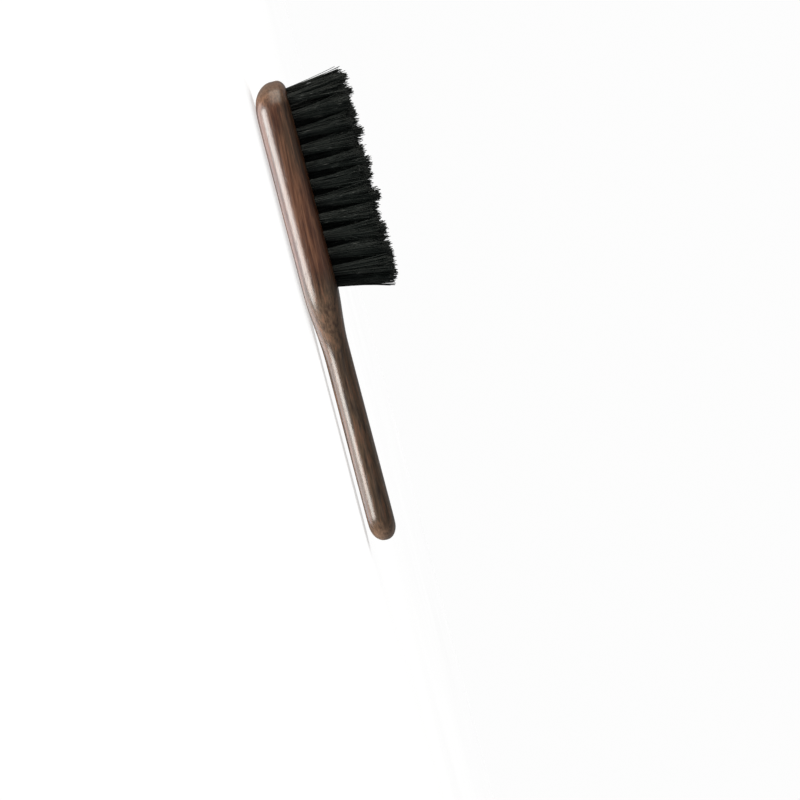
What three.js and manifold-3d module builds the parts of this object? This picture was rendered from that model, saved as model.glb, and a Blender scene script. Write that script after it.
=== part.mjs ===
// A small beard brush with a straight handle, lying on its back with the bristles up.
// Millimetres. X runs along the brush, from the head's end (-X) to the handle's end (+X),
// Y runs across it, and Z is up. The origin is under the middle of the brush, on the surface it lies on.
//
// One piece of turned and sanded hardwood is both head and handle. Its flat face has blind holes,
// fanned a little outwards, in five staggered columns. Each hole holds one tuft: a bundle of bristles
// doubled over a flat wire anchor, which is punched in with it and bites into the wood on both sides.
import * as THREE from "three";
import { mergeVertices } from "three/addons/utils/BufferGeometryUtils.js";
import Module from "manifold-3d";

const wasm = await Module();
wasm.setup();

// Driving dimensions of the wooden body
const LENGTH = 135;
const HEAD_THICKNESS = 10;
const HEAD_HALF_WIDTH = 12;
const NECK_HALF_WIDTH = 6;
const TAIL_HALF_WIDTH = 7.6;
const HEAD_ROUND = 9.5; // length of the head's elliptical end
const TAIL_ROUND = 7.5; // length of the handle's elliptical end
const HEAD_END_X = -LENGTH / 2;
const TAIL_END_X = LENGTH / 2;
const SHOULDER_X = -10; // the head starts to narrow here
const NECK_X = 18; // the narrowest place
const SHOULDER_PULL = 0.45; // how full the curves are, as a share of each one's length
const GRIP_PULL = 0.35;
const BACK_EDGE = 5; // radius of the rounded edge round the back
const FACE_EDGE = 3; // radius of the rounded edge round the head's face
const GRIP_FACE_EDGE = 4.4; // the same edge on the handle, which is nearly oval
const GRIP_BACK_RISE = 1.1; // the handle is thinner than the head by these two
const GRIP_FACE_DROP = 1.3;
const TOE_LENGTH = 12; // the back lifts towards the head's end, like the bow of a boat
const TOE_RISE = 1.9;
const FACE_DROPS_X = [SHOULDER_X, 10]; // where each of them starts and ends
const BACK_RISES_X = [-6, 14];

// Driving dimensions of the tufts
const COLUMNS = [-2, -1, 0, 1, 2]; // steps across from the middle column
const COLUMN_STEP = 3.75;
const TUFT_PITCH = 5;
const TUFTS_IN_EVEN_COLUMN = 11; // odd columns have one more, half a pitch further out at both ends
const FIRST_TUFT = 7.2; // from the head's end to the first tuft of an even column
const HOLE_RADIUS = 1.7;
const HOLE_DEPTH = 6.5;
const BRISTLE_LENGTH = 18; // free length, trimmed level
const TUFT_FOLD_RADIUS = 1; // the doubled bristles pinch in round the anchor
const TUFT_ROOT_RADIUS = 1.35;
const TUFT_TIP_RADIUS = 2.3;
const CLEARANCE = 0.3; // between a tuft or its anchor and the wood
const LEAN_AT_HEAD = -1.5; // degrees, along the brush
const LEAN_AT_NECK = 6.5;
const LEAN_ACROSS = 4; // degrees, on the two outer columns
const ANCHOR = { thick: 0.4, wide: 3.9, high: 1.8 };

const TUFT_SIDES = 10;
const HOLE_SIDES = 12;
const CURVE_STEPS = 7;
const BACK_EDGE_STEPS = 5;
const FACE_EDGE_STEPS = 4;

const WOOD = new THREE.MeshStandardMaterial({ color: 0x6e4a3a, roughness: 0.35, metalness: 0 });
const BRISTLE = new THREE.MeshStandardMaterial({ color: 0x1c1d1c, roughness: 0.45, metalness: 0 });

const { smoothstep, lerp, degToRad } = THREE.MathUtils;

// ---- Solids ----

// A closed three.js geometry as a manifold-3d solid, and back.
function toSolid(geometry) {
  const bare = geometry.clone();
  bare.deleteAttribute("normal");
  bare.deleteAttribute("uv");
  const merged = mergeVertices(bare, 1e-4);
  return new wasm.Manifold(
    new wasm.Mesh({
      numProp: 3,
      vertProperties: merged.attributes.position.array,
      triVerts: new Uint32Array(merged.index.array),
    }),
  );
}

function toGeometry(solid) {
  const mesh = solid.getMesh();
  const geometry = new THREE.BufferGeometry();
  geometry.setAttribute("position", new THREE.BufferAttribute(mesh.vertProperties, 3));
  geometry.setIndex(new THREE.BufferAttribute(mesh.triVerts, 1));
  geometry.computeVertexNormals();
  return geometry;
}

// ---- The wooden body ----

// A curve that leaves and arrives along the brush.
function easeTo(path, x, halfWidth, pull) {
  const { x: fromX, y: fromHalfWidth } = path.currentPoint.clone();
  const reach = (x - fromX) * pull;
  path.bezierCurveTo(fromX + reach, fromHalfWidth, x - reach, halfWidth, x, halfWidth);
}

// One side of the outline seen from above, from the head's end to the handle's end.
function halfOutline() {
  const path = new THREE.Path();
  const headCentre = HEAD_END_X + HEAD_ROUND;
  const tailCentre = TAIL_END_X - TAIL_ROUND;
  path.absellipse(headCentre, 0, HEAD_ROUND, HEAD_HALF_WIDTH, Math.PI, Math.PI / 2, true);
  path.lineTo(SHOULDER_X, HEAD_HALF_WIDTH);
  easeTo(path, NECK_X, NECK_HALF_WIDTH, SHOULDER_PULL);
  easeTo(path, tailCentre, TAIL_HALF_WIDTH, GRIP_PULL);
  path.absellipse(tailCentre, 0, TAIL_ROUND, TAIL_HALF_WIDTH, Math.PI / 2, 0, true);
  return path.getPoints(CURVE_STEPS);
}

// The outline's points with the direction that points straight out of the wood at each.
function withNormals(points) {
  const last = points.length - 1;
  return points.map((point, i) => {
    if (i === 0) return { point, out: new THREE.Vector2(-1, 0) };
    if (i === last) return { point, out: new THREE.Vector2(1, 0) };
    const along = points[i + 1].clone().sub(points[i - 1]).normalize();
    return { point, out: new THREE.Vector2(-along.y, along.x) };
  });
}

// How far the face has gone over from the head's shape (0) to the handle's (1).
const gripShare = (x) => smoothstep(x, ...FACE_DROPS_X);
const faceHeight = (x) => HEAD_THICKNESS - GRIP_FACE_DROP * gripShare(x);
const toeShare = (x) => Math.max(1 - (x - HEAD_END_X) / TOE_LENGTH, 0) ** 2;
const backHeight = (x) => GRIP_BACK_RISE * smoothstep(x, ...BACK_RISES_X) + TOE_RISE * toeShare(x);

// The rounded side of the body from back to face: each step moves the outline in and up.
function edgeSteps() {
  const steps = [];
  for (let i = 0; i <= BACK_EDGE_STEPS; i++) {
    const turn = ((Math.PI / 2) * i) / BACK_EDGE_STEPS;
    steps.push(() => ({
      inset: BACK_EDGE * (1 - Math.sin(turn)),
      height: BACK_EDGE * (1 - Math.cos(turn)),
    }));
  }
  for (let i = FACE_EDGE_STEPS; i >= 0; i--) {
    const turn = ((Math.PI / 2) * i) / FACE_EDGE_STEPS;
    steps.push((x) => {
      const radius = lerp(FACE_EDGE, GRIP_FACE_EDGE, gripShare(x));
      return {
        inset: radius * (1 - Math.sin(turn)),
        height: HEAD_THICKNESS - radius * (1 - Math.cos(turn)),
      };
    });
  }
  return steps;
}

// Rings of points up the rounded side, closed by a ladder of faces across the back and the face.
function bodyGeometry() {
  const half = withNormals(halfOutline());
  const count = half.length;
  const ringSize = 2 * count - 2;
  const positions = [];
  for (const step of edgeSteps()) {
    const ring = half.map(({ point, out }) => {
      const { inset, height } = step(point.x);
      const x = point.x - out.x * inset;
      const low = backHeight(x);
      const high = faceHeight(x);
      const z = low + (height / HEAD_THICKNESS) * (high - low);
      return [x, point.y - out.y * inset, z];
    });
    const mirrored = ring.slice(1, -1).reverse().map(([x, y, z]) => [x, -y, z]);
    positions.push(...[...ring, ...mirrored].flat());
  }

  const index = [];
  const quad = (a, b, c, d) => index.push(a, b, c, a, c, d);
  const rings = positions.length / 3 / ringSize;
  for (let r = 0; r < rings - 1; r++) {
    for (let i = 0; i < ringSize; i++) {
      const next = (i + 1) % ringSize;
      const low = r * ringSize;
      const high = low + ringSize;
      quad(low + next, low + i, high + i, high + next);
    }
  }
  const lid = (ring, facesUp) => {
    const first = ring * ringSize;
    const across = (i) => first + ((ringSize - i) % ringSize);
    for (let i = 0; i < count - 1; i++) {
      const corners = [first + i, first + i + 1, across(i + 1), across(i)];
      if (facesUp) corners.reverse();
      quad(...corners);
    }
  };
  lid(0, false);
  lid(rings - 1, true);

  const geometry = new THREE.BufferGeometry();
  geometry.setAttribute("position", new THREE.Float32BufferAttribute(positions, 3));
  geometry.setIndex(index);
  return geometry.toNonIndexed();
}

// ---- Tufts, their holes and their anchors ----

// Where each tuft's middle meets the face, and how it leans.
function tuftPlaces() {
  const places = [];
  const outermost = Math.max(...COLUMNS);
  const firstX = HEAD_END_X + FIRST_TUFT;
  const lastX = firstX + TUFT_PITCH * (TUFTS_IN_EVEN_COLUMN - 1);
  COLUMNS.forEach((column, columnIndex) => {
    const odd = Math.abs(column) % 2;
    const start = firstX - (odd * TUFT_PITCH) / 2;
    for (let row = 0; row < TUFTS_IN_EVEN_COLUMN + odd; row++) {
      const x = start + row * TUFT_PITCH;
      const share = (x - firstX) / (lastX - firstX);
      places.push({
        name: `tuft_c${columnIndex + 1}_${String(row + 1).padStart(2, "0")}`,
        root: new THREE.Vector3(x, column * COLUMN_STEP, HEAD_THICKNESS),
        leanAlong: Math.tan(degToRad(lerp(LEAN_AT_HEAD, LEAN_AT_NECK, share))),
        leanAcross: Math.tan(degToRad((LEAN_ACROSS * column) / outermost)),
      });
    }
  });
  return places;
}

// A shape that stands on the face at its own origin, leaned so that its level sections stay level.
function leaned(geometry, { leanAlong, leanAcross }) {
  return geometry.applyMatrix4(new THREE.Matrix4().makeShear(0, 0, 0, 0, leanAlong, leanAcross));
}

function turned(profile, sides) {
  const points = profile.map(([radius, height]) => new THREE.Vector2(radius, height));
  return new THREE.LatheGeometry(points, sides).rotateX(Math.PI / 2);
}

function plate(thick, wide, high, bottom) {
  return new THREE.BoxGeometry(thick, wide, high).translate(0, 0, bottom + high / 2);
}

function tuftGeometry(place) {
  const foot = CLEARANCE - HOLE_DEPTH;
  const bundle = turned(
    [
      [0, foot],
      [TUFT_FOLD_RADIUS, foot],
      [TUFT_ROOT_RADIUS, foot + ANCHOR.high],
      [TUFT_ROOT_RADIUS, 0],
      [TUFT_TIP_RADIUS, BRISTLE_LENGTH],
      [0, BRISTLE_LENGTH],
    ],
    TUFT_SIDES,
  );
  const anchor = plate(ANCHOR.thick, ANCHOR.wide, ANCHOR.high, foot + CLEARANCE);
  const joined = toSolid(leaned(bundle, place)).add(toSolid(leaned(anchor, place)));
  return toGeometry(joined);
}

function holeSolid(place) {
  const above = 1; // past the face, so that the hole opens cleanly
  const bore = turned(
    [
      [0, -HOLE_DEPTH],
      [HOLE_RADIUS, -HOLE_DEPTH],
      [HOLE_RADIUS, above],
      [0, above],
    ],
    HOLE_SIDES,
  );
  const bite = plate(
    ANCHOR.thick + 2 * CLEARANCE,
    ANCHOR.wide + 2 * CLEARANCE,
    ANCHOR.high + 2 * CLEARANCE,
    CLEARANCE - HOLE_DEPTH,
  );
  const hole = toSolid(leaned(bore, place)).add(toSolid(leaned(bite, place)));
  return hole.translate(place.root.toArray());
}

// ---- The brush ----

function addPiece(group, name, geometry, material) {
  const mesh = new THREE.Mesh(geometry, material);
  mesh.name = name;
  group.add(mesh);
  return mesh;
}

function beardBrush() {
  const brush = new THREE.Group();
  const places = tuftPlaces();
  const holes = places.map(holeSolid).reduce((all, hole) => all.add(hole));
  addPiece(brush, "head_and_handle", toGeometry(toSolid(bodyGeometry()).subtract(holes)), WOOD);
  for (const place of places) {
    const tuft = addPiece(brush, place.name, tuftGeometry(place), BRISTLE);
    tuft.position.copy(place.root);
  }
  return brush;
}

export default beardBrush();
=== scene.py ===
"""A small beard brush, lying on its back with the bristles up.

The head and handle are one piece of varnished hardwood. Holes are drilled in its flat face in five
staggered columns, and each holds a tuft: black bristles doubled over a flat wire anchor.
"""

import math
import random

import bpy
from mathutils import Matrix, Vector
from mathutils.geometry import interpolate_bezier


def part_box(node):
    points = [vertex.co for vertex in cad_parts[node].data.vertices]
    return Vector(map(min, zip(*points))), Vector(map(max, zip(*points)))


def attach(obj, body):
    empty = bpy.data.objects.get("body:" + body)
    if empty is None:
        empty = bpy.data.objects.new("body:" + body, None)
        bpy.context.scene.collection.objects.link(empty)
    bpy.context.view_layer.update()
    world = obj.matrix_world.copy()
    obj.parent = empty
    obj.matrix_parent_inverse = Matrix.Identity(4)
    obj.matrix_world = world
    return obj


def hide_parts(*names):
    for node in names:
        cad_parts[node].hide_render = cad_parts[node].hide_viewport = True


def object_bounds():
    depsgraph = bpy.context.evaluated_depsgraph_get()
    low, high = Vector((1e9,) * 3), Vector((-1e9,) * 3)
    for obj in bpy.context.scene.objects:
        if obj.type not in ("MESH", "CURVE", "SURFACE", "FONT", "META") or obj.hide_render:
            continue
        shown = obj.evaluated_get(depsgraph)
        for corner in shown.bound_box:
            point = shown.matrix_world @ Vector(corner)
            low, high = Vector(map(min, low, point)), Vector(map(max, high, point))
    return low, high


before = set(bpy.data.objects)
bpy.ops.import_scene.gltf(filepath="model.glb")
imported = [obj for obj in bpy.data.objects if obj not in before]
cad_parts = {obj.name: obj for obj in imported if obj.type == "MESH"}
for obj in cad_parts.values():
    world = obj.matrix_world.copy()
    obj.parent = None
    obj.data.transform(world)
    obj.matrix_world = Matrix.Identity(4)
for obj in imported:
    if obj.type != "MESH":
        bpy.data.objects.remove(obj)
CAD_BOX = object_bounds()

MM = 0.001
SEED = 11

# The wooden body's sizes, from the frame and then as a maker would give them.
WOOD_LOW, WOOD_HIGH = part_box("head_and_handle")
HEAD_END, TAIL_END = WOOD_LOW.x, WOOD_HIGH.x
THICKNESS = WOOD_HIGH.z - WOOD_LOW.z
HEAD_HALF_WIDTH = WOOD_HIGH.y
TAIL_HALF_WIDTH = 7.6 * MM
NECK_HALF_WIDTH = 6 * MM
HEAD_ROUND = 9.5 * MM
TAIL_ROUND = 7.5 * MM
SHOULDER_X = -10 * MM
NECK_X = 18 * MM
SHOULDER_PULL = 0.45
GRIP_PULL = 0.35
BACK_EDGE = 5 * MM
FACE_EDGE = 3 * MM
GRIP_FACE_EDGE = 4.4 * MM
GRIP_FACE_DROP = 1.3 * MM
GRIP_BACK_RISE = 1.1 * MM
TOE_LENGTH = 12 * MM
TOE_RISE = 1.9 * MM
FACE_DROPS_X = (SHOULDER_X, 10 * MM)
BACK_RISES_X = (-6 * MM, 14 * MM)
FACE_ROUND_STEPS = 7
BACK_ROUND_STEPS = 11
GRIP_RING_SHARES = (0.3, 0.62, 1.0)
ROUND_STEPS = 24
STRAIGHT_STEPS = 22

# The tufts and what holds them.
TUFTS = sorted(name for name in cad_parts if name.startswith("tuft"))
FACE_Z = WOOD_HIGH.z
TIP_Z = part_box(TUFTS[0])[1].z
BRISTLE_LENGTH = TIP_Z - FACE_Z
HOLE_RADIUS = 1.7 * MM
HOLE_DEPTH = 6.5 * MM
RIM_CHAMFER = 0.18 * MM
ANCHOR_SIZE = Vector((0.4, 3.9, 1.8)) * MM
ANCHOR_FOOT = 0.6 * MM
ANCHOR_EDGE = 0.08 * MM

BRISTLES_IN_TUFT = 220
BRISTLE_RADIUS = 0.11 * MM
BRISTLE_SIDES = 5
BRISTLE_STEPS = 5
BRISTLE_HOLD = 5 * MM
TUFT_ROOT_RADIUS = 1.42 * MM
TUFT_TIP_RADIUS = 2.4 * MM
TUFT_KINDS = 12
BRISTLE_BOWS = (0.15 * MM, 0.6 * MM, 1.2 * MM)
BRISTLE_TAPER = 0.94
WORN_EDGE = 0.6 * BRISTLE_RADIUS
WORN_SHARE = 0.55
CLUMPS_IN_TUFT = 7
CLUMP_GATHER = 0.72
CLUMP_SLOPE = 1.5
CLUMP_SHORTER = 1.6 * MM
CLUMP_UNEVEN = 1.05 * MM
TIP_UNEVEN = 0.22 * MM
TIP_SCATTER = 0.3 * MM
STRAY_SHARE = 0.03
STRAY_REACH = 3.0


# ---- Working in edit mode ----


def start_clean():
    if bpy.context.object and bpy.context.object.mode != "OBJECT":
        bpy.ops.object.mode_set(mode="OBJECT")
    bpy.ops.object.select_all(action="DESELECT")


def select_only(*objects):
    start_clean()
    for thing in objects:
        thing.select_set(True)
    bpy.context.view_layer.objects.active = objects[0]


def into_place(piece):
    """Leaves the piece at the origin, unturned, with its place in its mesh."""
    select_only(piece)
    bpy.ops.object.transform_apply(location=True, rotation=True, scale=True)


def faces_outwards(piece):
    select_only(piece)
    bpy.ops.object.mode_set(mode="EDIT")
    bpy.ops.mesh.select_all(action="SELECT")
    bpy.ops.mesh.normals_make_consistent(inside=False)
    bpy.ops.object.mode_set(mode="OBJECT")


def copied(piece, name, matrix=None):
    """A copy with a mesh of its own, its place in its vertices."""
    twin = piece.copy()
    twin.data = piece.data.copy()
    twin.name = name
    bpy.context.collection.objects.link(twin)
    if matrix is not None:
        twin.data.transform(matrix)
    return twin


def joined(pieces, name):
    select_only(*pieces)
    bpy.ops.object.join()
    whole = bpy.context.object
    whole.name = name
    return whole


# ---- Node trees ----


def add_node(tree, kind, values=(), **settings):
    node = tree.nodes.new(kind)
    for key, value in settings.items():
        setattr(node, key, value)
    for key, value in dict(values).items():
        node.inputs[key].default_value = value
    return node


def new_material(name):
    material = bpy.data.materials.new(name)
    material.use_nodes = True
    tree = material.node_tree
    return material, tree, tree.nodes["Principled BSDF"]


def grain(tree, size, place=(0, 0, 0), turn=(0, 0, 0)):
    """The piece's own coordinates, counted in features of this size in millimetres."""
    coords = add_node(tree, "ShaderNodeTexCoord")
    mapping = add_node(tree, "ShaderNodeMapping", vector_type="TEXTURE")
    mapping.inputs["Location"].default_value = Vector(place) * MM
    mapping.inputs["Rotation"].default_value = [math.radians(angle) for angle in turn]
    mapping.inputs["Scale"].default_value = Vector(size) * MM
    tree.links.new(coords.outputs["Object"], mapping.inputs["Vector"])
    return mapping.outputs["Vector"]


def noise(tree, vector, detail=3.0, roughness=0.5, waver=0.0):
    node = add_node(
        tree,
        "ShaderNodeTexNoise",
        {"Scale": 1.0, "Detail": detail, "Roughness": roughness, "Distortion": waver},
    )
    tree.links.new(vector, node.inputs["Vector"])
    return node.outputs["Fac"]


def between(tree, value, low, high, to_low=0.0, to_high=1.0):
    """value, from low to high, spread over to_low to to_high."""
    node = add_node(
        tree,
        "ShaderNodeMapRange",
        {"From Min": low, "From Max": high, "To Min": to_low, "To Max": to_high},
    )
    tree.links.new(value, node.inputs["Value"])
    return node.outputs["Result"]


def maths(tree, operation, a, b):
    node = add_node(tree, "ShaderNodeMath", operation=operation)
    for socket, value in zip(node.inputs, (a, b)):
        if isinstance(value, float):
            socket.default_value = value
        else:
            tree.links.new(value, socket)
    return node.outputs["Value"]


def mixed(tree, factor, a, b):
    """a where factor is 0 and b where it is 1."""
    node = add_node(tree, "ShaderNodeMix", data_type="RGBA")
    for socket, value in zip((node.inputs[0], node.inputs[6], node.inputs[7]), (factor, a, b)):
        if isinstance(value, (float, tuple)):
            socket.default_value = value
        else:
            tree.links.new(value, socket)
    return node.outputs[2]


def ramp(tree, factor, *stops):
    """Colours along factor: each stop is a place and a colour."""
    node = add_node(tree, "ShaderNodeValToRGB")
    elements = node.color_ramp.elements
    while len(elements) < len(stops):
        elements.new(0.5)
    for element, (place, colour) in zip(elements, stops):
        element.position = place
        element.color = (*colour, 1)
    tree.links.new(factor, node.inputs["Fac"])
    return node.outputs["Color"]


def bumped(tree, shader, *layers):
    """Stacks bumps on the shader and its varnish: each layer is a height, a distance and a strength."""
    normal = None
    for height, distance, strength in layers:
        node = add_node(tree, "ShaderNodeBump", {"Distance": distance, "Strength": strength})
        tree.links.new(height, node.inputs["Height"])
        if normal is not None:
            tree.links.new(normal, node.inputs["Normal"])
        normal = node.outputs["Normal"]
    tree.links.new(normal, shader.inputs["Normal"])
    tree.links.new(normal, shader.inputs["Coat Normal"])


# ---- Materials ----

WOOD_DARK = (0.012, 0.004, 0.002)
WOOD_MID = (0.047, 0.015, 0.006)
WOOD_LIGHT = (0.120, 0.052, 0.026)
WOOD_OLIVE = (0.052, 0.032, 0.017)
WOOD_PORE = (0.012, 0.005, 0.003)
# The ends' paler colours: partly end grain, partly a painted highlight on the rounded ends.
WOOD_END_AND_HIGHLIGHT_DARK = (0.150, 0.084, 0.051)
WOOD_END_AND_HIGHLIGHT_LIGHT = (0.270, 0.167, 0.107)
GRAIN_TURN = (0, 3, 1)


def varnished_wood():
    """Reddish brown hardwood: growth rings, fibres and pores, paler where it is cut across, which is partly
    a painted highlight on the rounded ends, and greyer past the shoulder, which is painted shade.
    """
    material, tree, shader = new_material("varnished_wood")
    wander = noise(tree, grain(tree, (60, 12, 12)), detail=2.0)
    rings = add_node(
        tree,
        "ShaderNodeTexWave",
        {"Scale": 0.17, "Distortion": 1.2, "Detail": 2.0, "Detail Scale": 0.12, "Detail Roughness": 0.5},
        wave_type="RINGS",
        rings_direction="X",
        wave_profile="SIN",
    )
    tree.links.new(grain(tree, (9, 1, 1), place=(0, 21, 4), turn=GRAIN_TURN), rings.inputs["Vector"])
    fibres = noise(tree, grain(tree, (9, 0.4, 0.4), turn=GRAIN_TURN), detail=4.0, roughness=0.62)
    streaks = noise(tree, grain(tree, (15, 0.8, 0.8), turn=GRAIN_TURN), detail=3.0, roughness=0.6, waver=0.5)
    pores = noise(tree, grain(tree, (4, 0.16, 0.16), turn=GRAIN_TURN), detail=1.0)

    ring_tone = between(tree, rings.outputs["Fac"], 0.0, 1.0, -0.09, 0.09)
    fibre_tone = between(tree, fibres, 0.3, 0.7, -0.3, 0.3)
    streak_tone = between(tree, streaks, 0.3, 0.7, -0.34, 0.34)
    tone = maths(tree, "ADD", maths(tree, "ADD", ring_tone, fibre_tone), streak_tone)
    tone = maths(tree, "ADD", tone, 0.5)
    red = ramp(tree, tone, (0.0, WOOD_DARK), (0.42, WOOD_MID), (0.95, WOOD_LIGHT))
    olive = ramp(tree, tone, (0.0, WOOD_DARK), (0.5, WOOD_OLIVE), (1.0, WOOD_LIGHT))
    # Painted shade: from the shoulder on towards the handle the wood is pushed greyer and more olive, where
    # the side turns away from the light. The rest of the red-to-olive drift is random tone.
    along = add_node(tree, "ShaderNodeSeparateXYZ")
    tree.links.new(grain(tree, (1, 1, 1)), along.inputs["Vector"])
    painted_neck_shade = between(tree, along.outputs["X"], -18.0, -4.0, 0.0, 0.2)
    drift_and_neck_shade = between(tree, maths(tree, "ADD", wander, painted_neck_shade), 0.5, 0.68)
    colour = mixed(tree, drift_and_neck_shade, red, olive)

    geometry = add_node(tree, "ShaderNodeNewGeometry")
    split = add_node(tree, "ShaderNodeSeparateXYZ")
    tree.links.new(geometry.outputs["Normal"], split.inputs["Vector"])
    # Where the surface faces along the brush it turns paler: partly the end grain's own colour, partly a
    # painted highlight on the rounded ends.
    end_grain_and_highlight = between(tree, maths(tree, "ABSOLUTE", split.outputs["X"], 0.0), 0.1, 0.8, 0.0, 0.7)
    end_grain_and_highlight_colour = ramp(tree, tone, (0.15, WOOD_END_AND_HIGHLIGHT_DARK), (0.75, WOOD_END_AND_HIGHLIGHT_LIGHT))
    colour = mixed(tree, end_grain_and_highlight, colour, end_grain_and_highlight_colour)
    pore_mask = between(tree, pores, 0.64, 0.74, 0.0, 0.8)
    colour = mixed(tree, pore_mask, colour, (*WOOD_PORE, 1))
    tree.links.new(colour, shader.inputs["Base Color"])

    tree.links.new(between(tree, streaks, 0.3, 0.7, 0.30, 0.42), shader.inputs["Roughness"])
    shader.inputs["Specular IOR Level"].default_value = 0.3
    shader.inputs["Coat Weight"].default_value = 0.9
    shader.inputs["Coat Roughness"].default_value = 0.26
    bumped(
        tree,
        shader,
        (streaks, 0.05 * MM, 0.3),
        (fibres, 0.03 * MM, 0.3),
        (pore_mask, -0.03 * MM, 0.5),
    )
    return material


def black_bristle():
    """Black with a cool sheen, each bristle a little different along its length, and a few painted pale as
    highlight streaks.
    """
    material, tree, shader = new_material("black_bristle")
    each = noise(tree, grain(tree, (0.28, 0.28, 22)), detail=1.0)
    along = noise(tree, grain(tree, (1.1, 1.1, 3.8)), detail=2.0)
    colour = ramp(
        tree,
        maths(tree, "ADD", maths(tree, "MULTIPLY", each, 0.7), maths(tree, "MULTIPLY", along, 0.3)),
        (0.3, (0.002, 0.003, 0.003)),
        (0.55, (0.004, 0.006, 0.005)),
        (0.64, (0.011, 0.014, 0.013)),
        # Painted highlight: the palest stop lights up a few bristles as thin bright streaks.
        (0.72, (0.100, 0.104, 0.096)),
    )
    tree.links.new(colour, shader.inputs["Base Color"])
    tree.links.new(between(tree, along, 0.3, 0.7, 0.26, 0.42), shader.inputs["Roughness"])
    shader.inputs["Specular IOR Level"].default_value = 0.44
    shader.inputs["Specular Tint"].default_value = (0.92, 1, 0.98, 1)
    return material


def cut_bristle_end():
    """The paler core that shows where the bristles were trimmed, made paler still as a painted highlight for
    the glints on the cut tips.
    """
    material, tree, shader = new_material("cut_bristle_end")
    speckle = noise(tree, grain(tree, (0.38, 0.38, 0.38)), detail=2.0)
    # Partly the trimmed core's own colour, partly a painted highlight for the glints on the cut tips.
    colour = ramp(tree, speckle, (0.35, (0.05, 0.048, 0.043)), (0.68, (0.34, 0.32, 0.29)))
    tree.links.new(colour, shader.inputs["Base Color"])
    shader.inputs["Roughness"].default_value = 0.35
    return material


def anchor_steel():
    """Flattened wire, drawn along its length."""
    material, tree, shader = new_material("anchor_steel")
    drawn = noise(tree, grain(tree, (0.11, 3.3, 0.11)), detail=3.0)
    colour = ramp(tree, drawn, (0.3, (0.36, 0.35, 0.33)), (0.7, (0.58, 0.57, 0.55)))
    tree.links.new(colour, shader.inputs["Base Color"])
    tree.links.new(between(tree, drawn, 0.3, 0.7, 0.25, 0.45), shader.inputs["Roughness"])
    shader.inputs["Metallic"].default_value = 1.0
    return material


def pale_floor():
    """A white panel that glows softly."""
    material, tree, shader = new_material("pale_floor")
    mottle = noise(tree, grain(tree, (170, 170, 170)), detail=2.0)
    tree.links.new(
        ramp(tree, mottle, (0.3, (0.48, 0.48, 0.48)), (0.7, (0.52, 0.52, 0.52))),
        shader.inputs["Base Color"],
    )
    shader.inputs["Roughness"].default_value = 0.8
    shader.inputs["Emission Color"].default_value = (1, 1, 1, 1)
    shader.inputs["Emission Strength"].default_value = 0.53
    return material


# ---- The wooden head and handle ----


def smoothstep(x, span):
    share = min(max((x - span[0]) / (span[1] - span[0]), 0), 1)
    return share * share * (3 - 2 * share)


def arc_points(centre_x, along, across, start, turn):
    """Points round a quarter of an ellipse, the first one left out."""
    angles = [start + turn * (i + 1) / ROUND_STEPS for i in range(ROUND_STEPS)]
    return [Vector((centre_x + along * math.cos(a), across * math.sin(a), 0)) for a in angles]


def eased_points(start, end, pull):
    """Points along a curve that leaves and arrives along the brush, the first one left out."""
    reach = Vector(((end.x - start.x) * pull, 0, 0))
    return interpolate_bezier(start, start + reach, end - reach, end, STRAIGHT_STEPS + 1)[1:]


def outline():
    """The body seen from above, once round."""
    head_end = Vector((HEAD_END, 0, 0))
    shoulder = Vector((SHOULDER_X, HEAD_HALF_WIDTH, 0))
    neck = Vector((NECK_X, NECK_HALF_WIDTH, 0))
    tail = Vector((TAIL_END - TAIL_ROUND, TAIL_HALF_WIDTH, 0))
    quarter = math.pi / 2
    half = [head_end]
    half += arc_points(HEAD_END + HEAD_ROUND, HEAD_ROUND, HEAD_HALF_WIDTH, math.pi, -quarter)
    half += eased_points(half[-1], shoulder, 1 / 3)
    half += eased_points(shoulder, neck, SHOULDER_PULL)
    half += eased_points(neck, tail, GRIP_PULL)
    half += arc_points(tail.x, TAIL_ROUND, TAIL_HALF_WIDTH, quarter, -quarter)
    other = [Vector((p.x, -p.y, 0)) for p in reversed(half[1:-1])]
    return half + other


def rounded(inset, radius):
    """How far a rounded edge still is from the flat, this far in from the outline."""
    left = max(radius - inset, 0)
    return radius - math.sqrt(radius * radius - left * left)


def face_drop(x):
    return GRIP_FACE_DROP * smoothstep(x, FACE_DROPS_X)


def back_rise(x):
    """The back lifts under the handle and, like the bow of a boat, towards the head's end."""
    toe = max(1 - (x - HEAD_END) / TOE_LENGTH, 0)
    return GRIP_BACK_RISE * smoothstep(x, BACK_RISES_X) + TOE_RISE * toe * toe


def thinning(x):
    """The thickness here as a share of the head's, which the rounded edges keep in proportion to."""
    return 1 - (face_drop(x) + back_rise(x)) / THICKNESS


def face_height(x, inset):
    radius = FACE_EDGE + (GRIP_FACE_EDGE - FACE_EDGE) * smoothstep(x, FACE_DROPS_X)
    return THICKNESS - face_drop(x) - rounded(inset, radius) * thinning(x)


def back_height(x, inset):
    return back_rise(x) + rounded(inset, BACK_EDGE) * thinning(x)


def quarter_round(radius, steps):
    """Distances in from the outline that are even steps round an edge of this radius."""
    return [radius * (1 - math.cos(math.pi / 2 * (i + 1) / steps)) for i in range(steps)]


def inset_rings(body, lid, insets):
    """Insets the selected lid again and again, and returns (distance in, vertices) for each ring.

    The lid keeps its own vertices as it shrinks, and leaves new ones behind where it was.
    """
    rings = []
    reached = 0
    for inset in insets:
        before = len(body.data.vertices)
        bpy.ops.object.mode_set(mode="EDIT")
        bpy.ops.mesh.inset(thickness=inset - reached, depth=0)
        bpy.ops.object.mode_set(mode="OBJECT")
        rings.append((reached, range(before, len(body.data.vertices))))
        reached = inset
    return rings + [(reached, lid)]


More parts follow.
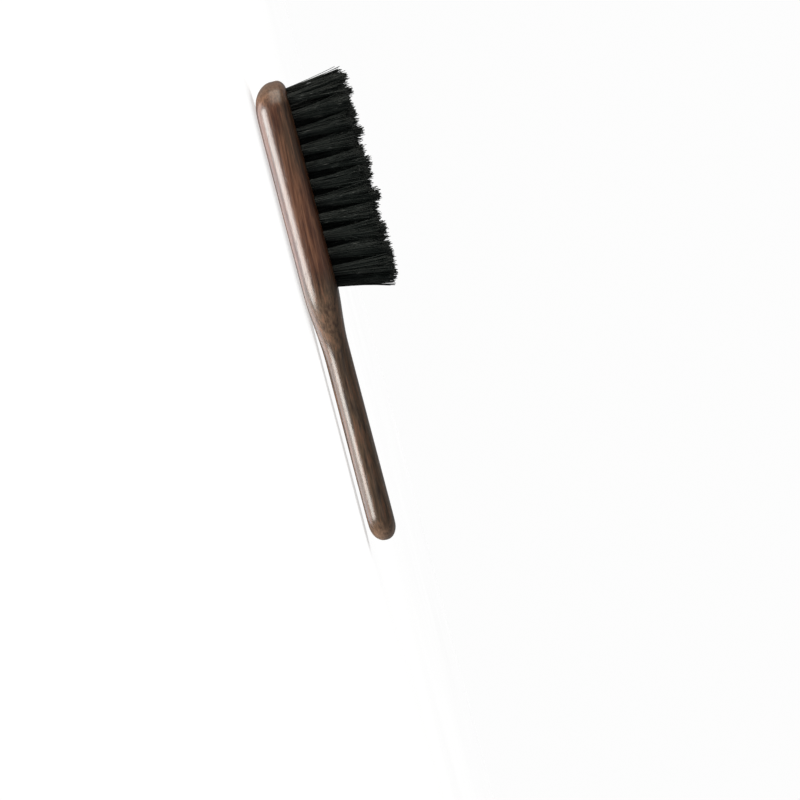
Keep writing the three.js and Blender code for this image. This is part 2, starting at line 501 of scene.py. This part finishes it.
def select_lid(body, height, sides):
    for polygon in body.data.polygons:
        polygon.select = len(polygon.vertices) == sides and abs(polygon.center.z - height) < 0.1 * MM
    for vertex in body.data.vertices:
        vertex.select = False
    for edge in body.data.edges:
        edge.select = False


def wooden_blank():
    """The body before drilling: the outline cut from a board, then both edges rounded over."""
    around = outline()
    start_clean()
    bpy.ops.mesh.primitive_circle_add(vertices=len(around), radius=HEAD_HALF_WIDTH, fill_type="NGON")
    body = bpy.context.object
    for vertex, point in zip(body.data.vertices, around):
        vertex.co = point
    bpy.ops.object.mode_set(mode="EDIT")
    bpy.ops.mesh.select_mode(type="FACE")
    bpy.ops.mesh.select_all(action="SELECT")
    bpy.ops.mesh.extrude_region_move(TRANSFORM_OT_translate={"value": (0, 0, THICKNESS)})
    bpy.ops.object.mode_set(mode="OBJECT")

    count = len(around)
    grip_rings = [FACE_EDGE + (GRIP_FACE_EDGE - FACE_EDGE) * share for share in GRIP_RING_SHARES]
    face_insets = quarter_round(FACE_EDGE, FACE_ROUND_STEPS) + grip_rings
    face_rings = inset_rings(body, range(count, 2 * count), face_insets)
    select_lid(body, 0, count)
    back_rings = inset_rings(body, range(count), quarter_round(BACK_EDGE, BACK_ROUND_STEPS))
    for rings, height in ((face_rings, face_height), (back_rings, back_height)):
        for inset, indices in rings:
            for index in indices:
                point = body.data.vertices[index].co
                point.z = height(point.x, inset)

    bpy.ops.object.mode_set(mode="EDIT")
    bpy.ops.mesh.select_all(action="SELECT")
    bpy.ops.mesh.quads_convert_to_tris(ngon_method="BEAUTY")
    bpy.ops.mesh.tris_convert_to_quads(face_threshold=math.radians(10), shape_threshold=math.radians(60))
    bpy.ops.object.mode_set(mode="OBJECT")
    faces_outwards(body)
    return body


def drill():
    """One hole's cutter, its mouth at the origin: a bore with a small countersink."""
    above = 1 * MM
    start_clean()
    bpy.ops.mesh.primitive_cylinder_add(
        vertices=24,
        radius=HOLE_RADIUS,
        depth=HOLE_DEPTH - RIM_CHAMFER,
        location=(0, 0, -(HOLE_DEPTH + RIM_CHAMFER) / 2),
    )
    bpy.ops.object.mode_set(mode="EDIT")
    bpy.ops.mesh.select_mode(type="FACE")
    bpy.ops.mesh.select_all(action="DESELECT")
    bpy.ops.object.mode_set(mode="OBJECT")
    cutter = bpy.context.object
    into_place(cutter)
    for polygon in cutter.data.polygons:
        polygon.select = polygon.normal.z > 0.9
    bpy.ops.object.mode_set(mode="EDIT")
    wider = 1 + 2 * RIM_CHAMFER / HOLE_RADIUS
    bpy.ops.mesh.extrude_region_move(TRANSFORM_OT_translate={"value": (0, 0, 2 * RIM_CHAMFER)})
    bpy.ops.transform.resize(value=(wider, wider, 1), center_override=(0, 0, RIM_CHAMFER))
    bpy.ops.mesh.extrude_region_move(TRANSFORM_OT_translate={"value": (0, 0, above)})
    bpy.ops.object.mode_set(mode="OBJECT")
    return cutter


def level_centre(node, height):
    """The middle of a CAD node's section at this height, where it has a ring of vertices."""
    level = [v.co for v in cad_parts[node].data.vertices if abs(v.co.z - height) < 0.01 * MM]
    low = Vector(map(min, *level))
    high = Vector(map(max, *level))
    return (low + high) / 2


def stance(node):
    """Carries a shape that stands at the origin to a tuft's place, leaned so that level stays level."""
    root = level_centre(node, FACE_Z)
    tip = level_centre(node, TIP_Z)
    lean = (tip - root) / (tip.z - root.z)
    leaned = Matrix.Identity(4)
    leaned[0][2] = lean.x
    leaned[1][2] = lean.y
    return Matrix.Translation(root) @ leaned


def head_and_handle(places, wood):
    body = wooden_blank()
    body.name = "wooden_body"
    cutter = drill()
    cutters = joined([copied(cutter, "drilled", place) for place in places.values()], "drilled_holes")
    bpy.data.objects.remove(cutter)
    drilled = body.modifiers.new("drilled", "BOOLEAN")
    drilled.operation = "DIFFERENCE"
    drilled.solver = "EXACT"
    drilled.object = cutters
    select_only(body)
    bpy.ops.object.modifier_apply(modifier=drilled.name)
    bpy.data.objects.remove(cutters)
    body.data.materials.clear()
    body.data.materials.append(wood)
    bpy.ops.object.shade_smooth_by_angle(angle=math.radians(35))
    return body


# ---- Tufts ----


def bristle(bow, black, cut_end):
    """One bristle that stands at the origin and bows towards +X, trimmed square with a worn edge."""
    start_clean()
    bpy.ops.mesh.primitive_circle_add(vertices=BRISTLE_SIDES, radius=BRISTLE_RADIUS, fill_type="NGON")
    one = bpy.context.object
    one.data.materials.append(black)
    one.data.materials.append(cut_end)
    bpy.ops.object.mode_set(mode="EDIT")
    bpy.ops.mesh.select_mode(type="FACE")
    bpy.ops.mesh.select_all(action="SELECT")
    step = (BRISTLE_HOLD + BRISTLE_LENGTH) / BRISTLE_STEPS
    reached = Vector((0, 0, 0))
    for i in range(BRISTLE_STEPS):
        move = Vector((bow * (2 * i + 1) / BRISTLE_STEPS**2, 0, step))
        reached += move
        bpy.ops.mesh.extrude_region_move(TRANSFORM_OT_translate={"value": move})
        bpy.ops.transform.resize(value=(BRISTLE_TAPER, BRISTLE_TAPER, 1), center_override=reached)
    worn = Vector((0, 0, WORN_EDGE))
    bpy.ops.mesh.extrude_region_move(TRANSFORM_OT_translate={"value": worn})
    bpy.ops.transform.resize(value=(WORN_SHARE, WORN_SHARE, 1), center_override=reached + worn)
    one.active_material_index = 1
    bpy.ops.object.material_slot_assign()
    bpy.ops.object.mode_set(mode="OBJECT")
    faces_outwards(one)
    bpy.ops.object.shade_smooth_by_angle(angle=math.radians(80))
    return one


def disc_point(rng, radius):
    distance = radius * math.sqrt(rng.random())
    angle = rng.uniform(0, 2 * math.pi)
    return Vector((distance * math.cos(angle), distance * math.sin(angle), 0))


def clump_tips(rng):
    """Where the tuft's clumps come to a point, spread evenly over its trimmed end."""
    golden = math.pi * (3 - math.sqrt(5))
    tips = []
    for i in range(CLUMPS_IN_TUFT):
        distance = TUFT_TIP_RADIUS * math.sqrt((i + 0.4) / CLUMPS_IN_TUFT) * rng.uniform(0.85, 1.05)
        angle = golden * i + rng.uniform(-0.35, 0.35)
        height = BRISTLE_LENGTH + rng.gauss(-CLUMP_SHORTER, CLUMP_UNEVEN)
        tips.append(Vector((distance * math.cos(angle), distance * math.sin(angle), height)))
    return tips


def tuft(rng, bristles):
    """A bundle that fans out of its hole and gathers into pointed clumps at its trimmed end."""
    clumps = clump_tips(rng)
    parts = []
    for i in range(BRISTLES_IN_TUFT):
        root = disc_point(rng, TUFT_ROOT_RADIUS)
        stray = STRAY_REACH if rng.random() < STRAY_SHARE else 1.0
        free = root * (TUFT_TIP_RADIUS / TUFT_ROOT_RADIUS) + disc_point(rng, TIP_SCATTER * stray)
        clump = min(clumps, key=lambda tip: (tip.xy - free.xy).length)
        level = Vector((clump.x, clump.y, 0))
        apart = (free - level).length
        tip = free.lerp(level, CLUMP_GATHER / stray)
        tip.z = clump.z - CLUMP_SLOPE * apart + rng.gauss(0, TIP_UNEVEN)
        foot = root - (tip - root) * (BRISTLE_HOLD / tip.z)
        shaft = tip - foot
        part = copied(rng.choice(bristles), "bristle")
        part.matrix_world = (
            Matrix.Translation(foot)
            @ shaft.to_track_quat("Z", "Y").to_matrix().to_4x4()
            @ Matrix.Rotation(rng.uniform(0, 2 * math.pi), 4, "Z")
            @ Matrix.Diagonal((1, 1, shaft.length / (BRISTLE_HOLD + BRISTLE_LENGTH), 1))
        )
        parts.append(part)
    whole = joined(parts, "tuft_kind")
    into_place(whole)
    return whole


def all_tufts(places, black, cut_end):
    rng = random.Random(SEED)
    bristles = [bristle(bow, black, cut_end) for bow in BRISTLE_BOWS]
    kinds = [tuft(rng, bristles) for _ in range(TUFT_KINDS)]
    order = []
    tufts = {}
    for node, place in places.items():
        if not order:
            order = rng.sample(kinds, len(kinds))
        turn = Matrix.Rotation(rng.uniform(0, 2 * math.pi), 4, "Z")
        tufts[node] = copied(order.pop(), node.replace("tuft", "bristles"), place @ turn)
    for spare in bristles + kinds:
        bpy.data.objects.remove(spare)
    return tufts


def anchor_plate(steel):
    """A short flat of wire, its corners eased, at the foot of a hole whose mouth is at the origin."""
    start_clean()
    middle = ANCHOR_FOOT - HOLE_DEPTH + ANCHOR_SIZE.z / 2
    bpy.ops.mesh.primitive_cube_add(size=1, location=(0, 0, middle), scale=ANCHOR_SIZE)
    plate = bpy.context.object
    into_place(plate)
    bpy.ops.object.mode_set(mode="EDIT")
    bpy.ops.mesh.select_all(action="SELECT")
    bpy.ops.mesh.bevel(offset=ANCHOR_EDGE, segments=2, affect="EDGES")
    bpy.ops.object.mode_set(mode="OBJECT")
    plate.data.materials.append(steel)
    return plate


# ---- The stage ----

# The camera: its distance in metres, its roll, and its place as shares of the brush's length and height.
VIEW_DISTANCE = 0.541
VIEW_ROLL = math.radians(14.7)
VIEW_ALONG = 0.2205
VIEW_UP = 0.675

FLOOR_SIZE = 6
FLOOR_BELOW = 0.05 * MM
CARD_BELOW = 1 * MM
CARD_BROWN = (0.20, 0.17, 0.15)
ROOM_GLOW = 0.17
ROOM_GLOW_SEEN = 0.98


def camera():
    """Looks at the brush's side, with the head's end up and leaning to the left."""
    low, high = CAD_BOX
    across = Vector((math.sin(VIEW_ROLL), 0, math.cos(VIEW_ROLL)))
    up = Vector((-math.cos(VIEW_ROLL), 0, math.sin(VIEW_ROLL)))
    turned = Matrix((across, up, across.cross(up))).transposed().to_4x4()
    data = bpy.data.cameras.new("camera")
    data.lens = 85
    data.sensor_width = 36
    data.clip_start = 0.01
    thing = bpy.data.objects.new("camera", data)
    bpy.context.collection.objects.link(thing)
    place = Vector((VIEW_ALONG * (high.x - low.x), -VIEW_DISTANCE, VIEW_UP * (high.z - low.z)))
    thing.matrix_world = Matrix.Translation(place) @ turned
    bpy.context.scene.camera = thing


def softbox(name, place, aim, size, watts, colour=(1, 1, 1)):
    data = bpy.data.lights.new(name, "AREA")
    data.shape = "RECTANGLE"
    data.size, data.size_y = size
    data.energy = watts
    data.color = colour
    lamp = bpy.data.objects.new(name, data)
    bpy.context.collection.objects.link(lamp)
    lamp.location = place
    lamp.rotation_euler = (Vector(aim) - Vector(place)).to_track_quat("-Z", "Y").to_euler()
    lamp.visible_camera = False


def sun(name, angle, strength, turn):
    data = bpy.data.lights.new(name, "SUN")
    data.energy = strength
    data.angle = math.radians(angle)
    lamp = bpy.data.objects.new(name, data)
    bpy.context.collection.objects.link(lamp)
    lamp.rotation_euler = [math.radians(degrees) for degrees in turn]
    lamp.visible_glossy = False


def lights():
    middle = (-0.02, 0, 0.012)
    softbox("key_along_the_back", (-0.05, -0.20, -0.40), middle, (0.38, 0.28), 4.2, (1, 0.96, 0.91))
    softbox("under_the_back", (-0.1, 0.10, -0.40), middle, (0.6, 0.4), 1.9, (1, 0.94, 0.95))
    softbox("over_the_head", (-0.55, -0.24, 0.05), middle, (0.6, 0.5), 2.4, (1, 0.94, 0.84))
    softbox("front_fill", (0.10, -0.60, 0.35), middle, (0.5, 0.5), 0.15)
    sun("ceiling", 40, 3.3, (-38, -15, 0))


def surroundings():
    """A white room that the camera sees bright, and that lights the brush more softly."""
    world = bpy.data.worlds.new("white_room")
    world.use_nodes = True
    tree = world.node_tree
    background = tree.nodes["Background"]
    background.inputs["Color"].default_value = (1, 1, 1, 1)
    path = add_node(tree, "ShaderNodeLightPath")
    strength = between(tree, path.outputs["Is Camera Ray"], 0.0, 1.0, ROOM_GLOW, ROOM_GLOW_SEEN)
    tree.links.new(strength, background.inputs["Strength"])
    bpy.context.scene.world = world


def floor():
    start_clean()
    bpy.ops.mesh.primitive_plane_add(size=FLOOR_SIZE, location=(0, 0, CAD_BOX[0].z - FLOOR_BELOW))
    ground = bpy.context.object
    ground.name = "floor"
    into_place(ground)
    ground.data.materials.append(pale_floor())
    ground.visible_shadow = False
    ground.visible_glossy = False


def shade_card(name, low, high):
    """Lies just under the floor and keeps the lamps below off what stands over it."""
    start_clean()
    middle = ((low[0] + high[0]) / 2, (low[1] + high[1]) / 2, CAD_BOX[0].z - CARD_BELOW)
    bpy.ops.mesh.primitive_plane_add(size=1, location=middle)
    card = bpy.context.object
    card.name = name
    card.scale = (high[0] - low[0], high[1] - low[1], 1)
    into_place(card)
    material, _, shader = new_material(name)
    shader.inputs["Base Color"].default_value = (*CARD_BROWN, 1)
    shader.inputs["Roughness"].default_value = 0.9
    card.data.materials.append(material)


def shade_cards():
    """One along the far side of the brush and one past the head's end."""
    shade_card("far_shade", (-0.12, -0.002), (0.12, 0.09))
    shade_card("end_shade", (-0.12, -0.05), (-0.0635, -0.002))


# ---- The brush ----


def beard_brush():
    places = {node: stance(node) for node in TUFTS}
    black = black_bristle()
    cut_end = cut_bristle_end()
    steel = anchor_steel()

    body = head_and_handle(places, varnished_wood())
    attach(body, "root")
    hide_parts("head_and_handle")

    for node, bundle in all_tufts(places, black, cut_end).items():
        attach(bundle, "root")
        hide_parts(node)

    plate = anchor_plate(steel)
    for node, place in places.items():
        anchor = copied(plate, node.replace("tuft", "anchor"), place)
        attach(anchor, "root")
    bpy.data.objects.remove(plate)


beard_brush()
floor()
shade_cards()
surroundings()
lights()
camera()
bpy.context.scene.view_settings.view_transform = "Standard"
